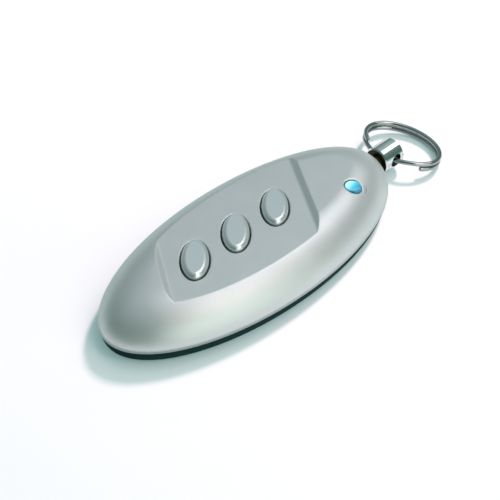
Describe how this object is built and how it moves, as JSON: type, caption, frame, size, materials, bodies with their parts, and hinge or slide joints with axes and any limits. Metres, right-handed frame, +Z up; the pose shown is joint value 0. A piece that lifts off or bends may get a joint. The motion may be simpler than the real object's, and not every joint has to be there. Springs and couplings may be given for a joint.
{
  "type": "garage door remote",
  "caption": "Pocket garage door remote: flat silver pebble with three slanted oval buttons in a sunk panel, a blue signal lens, a chrome key post and a split key ring.",
  "frame": {"origin": "Centre of the flat underside of the lower shell, on the surface that the remote lies on.", "axes": "+X runs along the body to the key post and the split ring, +Y runs across the body to the left when looking along +X, +Z points up out of the button panel."},
  "size_m": [0.0986, 0.0358, 0.0117],
  "materials": {
    "silver_plastic": "satin silver lacquer",
    "dark_plastic": "dark grey-teal, half matt",
    "blue_lens": "clear blue, glossy",
    "polished_metal": "mirror bright",
    "board_green": "green solder mask",
    "black_plastic": "black, moulded",
    "steel_sheet": "bright sheet",
    "bare_copper": "bare copper strip",
    "white_ceramic": "pale, smooth",
    "screw_steel": "zinc plated",
    "label_paper": "bare satin film"
  },
  "bodies": {
    "case": {"top_shell": "silver_plastic", "bottom_shell": "dark_plastic", "led_lens": "blue_lens", "circuit_board": "board_green", "switch_base_1": "black_plastic", "switch_base_2": "black_plastic", "switch_base_3": "black_plastic", "switch_cover_1": "steel_sheet", "switch_cover_2": "steel_sheet", "switch_cover_3": "steel_sheet", "snap_dome_1": "steel_sheet", "snap_dome_2": "steel_sheet", "snap_dome_3": "steel_sheet", "coin_cell": "steel_sheet", "negative_contact": "steel_sheet", "positive_clip": "steel_sheet", "antenna_loop": "bare_copper", "signal_led": "white_ceramic", "controller_chip": "black_plastic", "resonator": "steel_sheet", "transmit_transistor": "black_plastic", "trimmer": "white_ceramic", "choke": "black_plastic", "chip_capacitors": "white_ceramic", "chip_resistors": "black_plastic", "case_screw_1": "screw_steel", "case_screw_2": "screw_steel", "rating_label": "label_paper"},
    "button_1_cap": {"button_1": "silver_plastic"},
    "button_2_cap": {"button_2": "silver_plastic"},
    "button_3_cap": {"button_3": "silver_plastic"},
    "plunger_1": {"switch_plunger_1": "black_plastic"},
    "plunger_2": {"switch_plunger_2": "black_plastic"},
    "plunger_3": {"switch_plunger_3": "black_plastic"},
    "post": {"key_post": "polished_metal"},
    "ring": {"split_ring": "polished_metal"}
  },
  "joints": [
    {"name": "press_button_1", "type": "slide", "parent": "case", "child": "button_1_cap", "axis": [0, 0, -1], "range_m": [0, 0.0003], "stiffness_N_per_m": 3000},
    {"name": "press_button_2", "type": "slide", "parent": "case", "child": "button_2_cap", "axis": [0, 0, -1], "range_m": [0, 0.0003], "stiffness_N_per_m": 3000},
    {"name": "press_button_3", "type": "slide", "parent": "case", "child": "button_3_cap", "axis": [0, 0, -1], "range_m": [0, 0.0003], "stiffness_N_per_m": 3000},
    {"name": "press_plunger_1", "type": "slide", "parent": "case", "child": "plunger_1", "axis": [0, 0, -1], "range_m": [0, 0.0003]},
    {"name": "press_plunger_2", "type": "slide", "parent": "case", "child": "plunger_2", "axis": [0, 0, -1], "range_m": [0, 0.0003]},
    {"name": "press_plunger_3", "type": "slide", "parent": "case", "child": "plunger_3", "axis": [0, 0, -1], "range_m": [0, 0.0003]},
    {"name": "turn_post", "type": "hinge", "parent": "case", "child": "post", "pos_m": [0.0375, 0, 0.0039], "axis": [1, 0, 0], "continuous": true},
    {"name": "swing_ring", "type": "hinge", "parent": "post", "child": "ring", "pos_m": [0.0444, 0, 0.0039], "axis": [0, -1, 0], "range_deg": [-90, 105]}
  ],
  "couplings": [
    {"joint": "press_plunger_1", "follows": "press_button_1", "ratio": 1},
    {"joint": "press_plunger_2", "follows": "press_button_2", "ratio": 1},
    {"joint": "press_plunger_3", "follows": "press_button_3", "ratio": 1}
  ]
}
